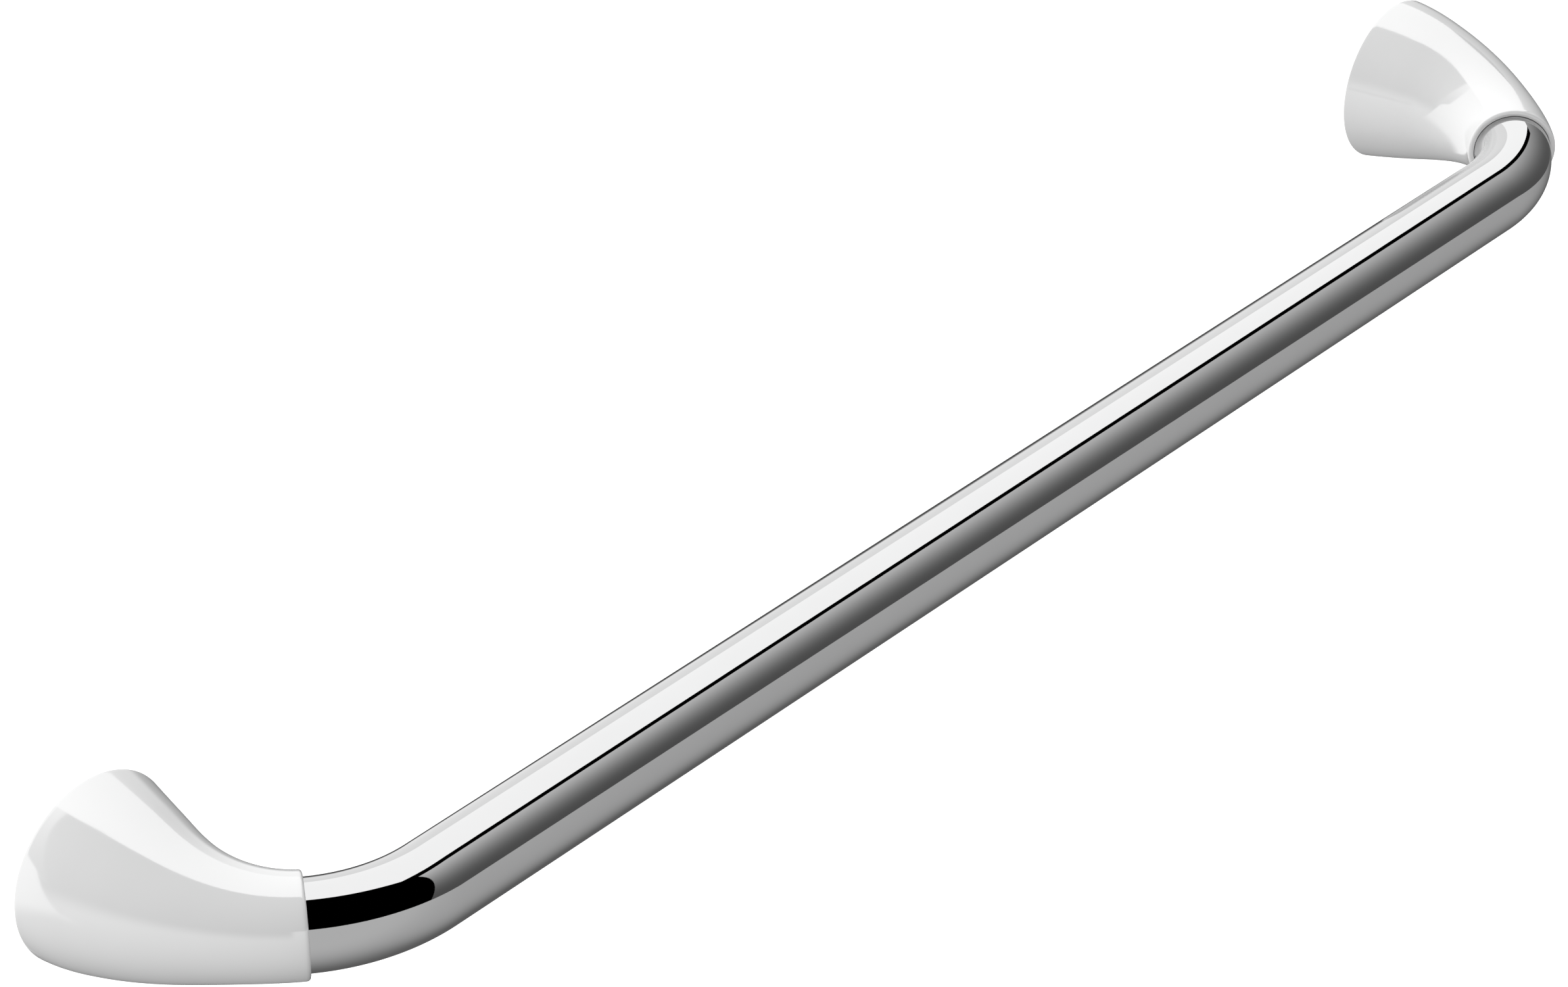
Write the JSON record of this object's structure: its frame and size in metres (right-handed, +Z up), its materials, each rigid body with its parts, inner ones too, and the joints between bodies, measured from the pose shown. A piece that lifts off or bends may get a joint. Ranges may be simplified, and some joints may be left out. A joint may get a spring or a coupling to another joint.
{
  "type": "wall grab bar",
  "caption": "Straight chromed grab bar with bent ends on two concealed screw-fixed wall brackets, each under a flared white cover that slides along the bend.",
  "frame": {"origin": "on the wall plane, midway between the centres of the two wall brackets", "axes": "+X along the bar, +Y into the wall (the bar stands out to -Y), +Z up"},
  "size_m": [0.832, 0.109, 0.07],
  "materials": {
    "chrome_tube": "polished chrome plate",
    "cover_plastic": "glossy white moulded plastic",
    "ring_plastic": "natural acetal, satin",
    "bracket_steel": "brushed stainless steel",
    "spring_steel": "rolled spring steel",
    "black_fastener": "black oxide steel",
    "gasket_rubber": "moulded foam rubber"
  },
  "bodies": {
    "bar_and_brackets": {"grab_tube": "chrome_tube", "left_wall_plate": "bracket_steel", "left_tube_socket": "bracket_steel", "left_set_screws": "black_fastener", "left_tube_plug": "bracket_steel", "left_clamp_bolt": "black_fastener", "left_wall_gasket": "gasket_rubber", "left_cover_springs": "spring_steel", "right_wall_plate": "bracket_steel", "right_tube_socket": "bracket_steel", "right_set_screws": "black_fastener", "right_tube_plug": "bracket_steel", "right_clamp_bolt": "black_fastener", "right_wall_gasket": "gasket_rubber", "right_cover_springs": "spring_steel"},
    "left_cover_set": {"left_cover": "cover_plastic", "left_glide_ring": "ring_plastic"},
    "right_cover_set": {"right_cover": "cover_plastic", "right_glide_ring": "ring_plastic"}
  },
  "joints": [
    {"name": "left_cover_slide", "type": "hinge", "parent": "bar_and_brackets", "child": "left_cover_set", "pos_m": [-0.316, -0.028, 0], "axis": [0, 0, 1], "range_deg": [0, 36]},
    {"name": "right_cover_slide", "type": "hinge", "parent": "bar_and_brackets", "child": "right_cover_set", "pos_m": [0.316, -0.028, 0], "axis": [0, 0, -1], "range_deg": [0, 36]}
  ]
}
